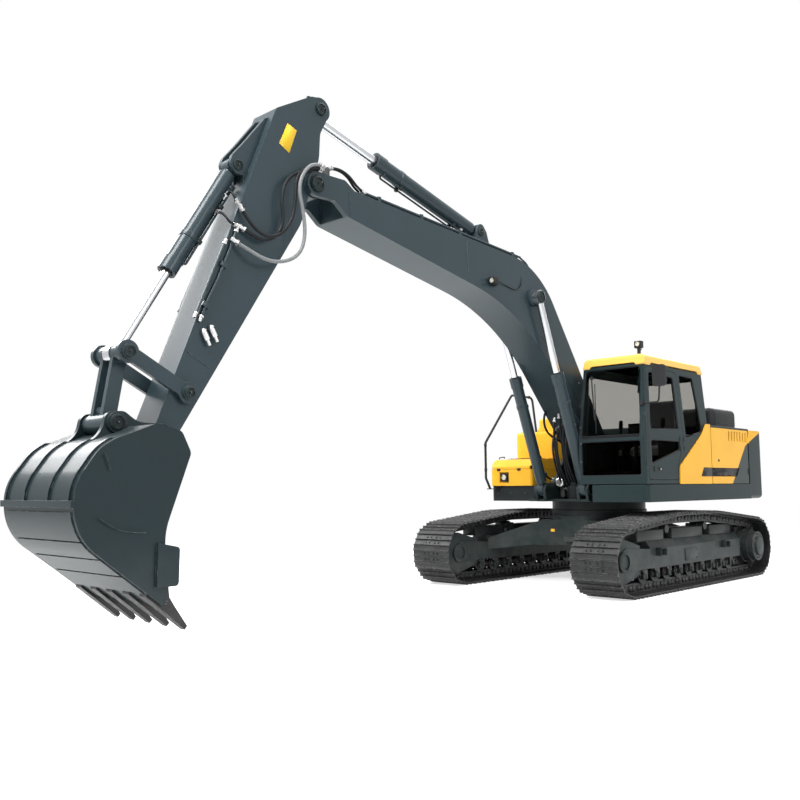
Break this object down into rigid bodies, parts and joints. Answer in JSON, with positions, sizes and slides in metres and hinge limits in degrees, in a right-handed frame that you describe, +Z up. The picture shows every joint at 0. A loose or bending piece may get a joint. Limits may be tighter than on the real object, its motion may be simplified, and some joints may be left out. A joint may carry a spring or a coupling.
{
  "type": "crawler excavator",
  "caption": "Crawler excavator with a swinging house, cab, boom, arm and bucket, its cylinders and linkage, opening doors, hood and lid.",
  "frame": {"origin": "on the ground under the middle of the whole machine", "axes": "+X forward along the tracks and the boom, +Y to the machine's left, +Z up"},
  "size_m": [10.6152, 3.065, 5.0628],
  "materials": {
    "track_steel": "worn steel",
    "frame_paint": "satin paint",
    "dark_paint": "satin paint",
    "gear_paint": "semi-gloss paint",
    "yellow_paint": "semi-gloss paint",
    "weight_paint": "painted casting",
    "chrome": "polished",
    "bright_steel": "turned steel",
    "glass": "tinted",
    "engine_metal": "cast",
    "plastic": "textured",
    "seat_fabric": "woven",
    "tooth_steel": "worn",
    "glass_lamp": "clear lens"
  },
  "bodies": {
    "undercarriage": {"carbody": "frame_paint", "slew_ring_lower": "bright_steel", "track_left": "track_steel", "track_right": "track_steel", "track_frame_left": "frame_paint", "track_frame_right": "frame_paint", "front_idlers": "track_steel", "drive_sprockets": "track_steel", "final_drives": "frame_paint", "track_rollers_left": "track_steel", "track_rollers_right": "track_steel", "carrier_rollers": "track_steel"},
    "door": {"cab_door": "dark_paint", "door_glass": "glass"},
    "hood": {"engine_hood": "dark_paint"},
    "left_door": {"left_side_door": "yellow_paint"},
    "right_door": {"right_side_door": "yellow_paint"},
    "lid": {"toolbox_lid": "yellow_paint"},
    "boom": {"boom": "gear_paint", "boom_pins": "bright_steel", "boom_pipes": "dark_paint"},
    "arm": {"arm": "gear_paint", "arm_pins": "bright_steel"},
    "bucket": {"bucket": "gear_paint", "bucket_teeth": "tooth_steel"},
    "boom_barrels": {"boom_barrels": "gear_paint"},
    "boom_rods": {"boom_rods": "chrome"},
    "arm_barrel": {"arm_barrel": "gear_paint"},
    "arm_rod": {"arm_rod": "chrome"},
    "bucket_barrel": {"bucket_barrel": "gear_paint"},
    "bucket_rod": {"bucket_rod": "chrome"},
    "guide_links": {"guide_links": "gear_paint"},
    "bucket_link": {"bucket_link": "gear_paint"},
    "house": {"slew_ring_upper": "bright_steel", "main_frame": "frame_paint", "deck_left": "dark_paint", "deck_right": "dark_paint", "counterweight": "weight_paint", "frame_pins": "bright_steel", "toolbox": "yellow_paint", "fuel_tank": "yellow_paint", "hydraulic_tank": "yellow_paint", "engine_block": "engine_metal", "valve_cover": "dark_paint", "left_cover": "dark_paint", "right_cover": "dark_paint", "cab_side_cover": "yellow_paint", "intake_hood": "plastic", "exhaust_pipe": "dark_paint", "handrails": "dark_paint", "work_lamps": "glass_lamp", "mirror_left": "plastic", "cab_shell": "dark_paint", "cab_glass": "glass", "cab_roof": "yellow_paint", "seat_base": "plastic", "seat_cushion": "seat_fabric", "seat_back": "seat_fabric", "control_consoles": "plastic", "travel_pedals": "plastic"}
  },
  "joints": [
    {"name": "slew", "type": "hinge", "parent": "undercarriage", "child": "house", "pos_m": [-2.55774, 0, 0.94], "axis": [0, 0, 1], "continuous": true},
    {"name": "boom_lift", "type": "hinge", "parent": "house", "child": "boom", "pos_m": [-2.35774, 0, 1.72], "axis": [0, -1, 0], "range_deg": [-62, 39]},
    {"name": "arm_swing", "type": "hinge", "parent": "boom", "child": "arm", "pos_m": [2.76826, 0, 4.157], "axis": [0, 1, 0], "range_deg": [-48, 62]},
    {"name": "bucket_curl", "type": "hinge", "parent": "arm", "child": "bucket", "pos_m": [4.33726, 0, 1.679], "axis": [0, 1, 0], "range_deg": [-62, 105]},
    {"name": "boom_barrels_swing", "type": "hinge", "parent": "house", "child": "boom_barrels", "pos_m": [-1.70774, 0, 1.22], "axis": [0, -1, 0], "range_deg": [-61, 39]},
    {"name": "boom_rods_slide", "type": "slide", "parent": "boom_barrels", "child": "boom_rods", "axis": [0.3734, 0, 0.9277], "range_m": [-0.77, 0.485]},
    {"name": "arm_barrel_swing", "type": "hinge", "parent": "boom", "child": "arm_barrel", "pos_m": [0.08226, 0, 4.275], "axis": [0, 1, 0], "range_deg": [-3, 4]},
    {"name": "arm_rod_slide", "type": "slide", "parent": "arm_barrel", "child": "arm_rod", "axis": [0.9681, 0, 0.2504], "range_m": [-0.565, 0.73]},
    {"name": "guide_links_swing", "type": "hinge", "parent": "arm", "child": "guide_links", "pos_m": [4.14726, 0, 2.05], "axis": [0, 1, 0], "range_deg": [-41, 69]},
    {"name": "bucket_link_swing", "type": "hinge", "parent": "bucket", "child": "bucket_link", "pos_m": [4.78726, 0, 1.775], "axis": [0, 1, 0], "range_deg": [-70, 41]},
    {"name": "bucket_barrel_swing", "type": "hinge", "parent": "arm", "child": "bucket_barrel", "pos_m": [3.59226, 0, 4.16], "axis": [0, 1, 0], "range_deg": [-4, 6]},
    {"name": "bucket_rod_slide", "type": "slide", "parent": "bucket_barrel", "child": "bucket_rod", "axis": [0.5166, 0, -0.8562], "range_m": [-0.39, 0.66]},
    {"name": "cab_door_swing", "type": "hinge", "parent": "house", "child": "door", "pos_m": [-2.41574, 1.344, 1.9], "axis": [0, 0, 1], "range_deg": [0, 105]},
    {"name": "engine_hood_lift", "type": "hinge", "parent": "house", "child": "hood", "pos_m": [-3.71774, 0, 2.068], "axis": [0, 1, 0], "range_deg": [0, 60]},
    {"name": "left_side_door_swing", "type": "hinge", "parent": "house", "child": "left_door", "pos_m": [-4.46274, 1.342, 1.65], "axis": [0, 0, 1], "range_deg": [0, 100]},
    {"name": "right_side_door_swing", "type": "hinge", "parent": "house", "child": "right_door", "pos_m": [-4.46274, -1.342, 1.65], "axis": [0, 0, -1], "range_deg": [0, 100]},
    {"name": "toolbox_lid_lift", "type": "hinge", "parent": "house", "child": "lid", "pos_m": [-2.45774, 0, 1.658], "axis": [0, -1, 0], "range_deg": [0, 85]}
  ],
  "couplings": [
    {"joint": "boom_barrels_swing", "follows": "boom_lift", "ratio": 0.977},
    {"joint": "boom_rods_slide", "follows": "boom_lift", "m_per_rad": 0.71},
    {"joint": "arm_barrel_swing", "follows": "arm_swing", "ratio": 0.0612},
    {"joint": "arm_rod_slide", "follows": "arm_swing", "m_per_rad": 0.673},
    {"joint": "guide_links_swing", "follows": "bucket_curl", "ratio": 0.65},
    {"joint": "bucket_link_swing", "follows": "bucket_curl", "ratio": -0.66},
    {"joint": "bucket_barrel_swing", "follows": "bucket_curl", "ratio": 0.05},
    {"joint": "bucket_rod_slide", "follows": "bucket_curl", "m_per_rad": 0.36}
  ]
}
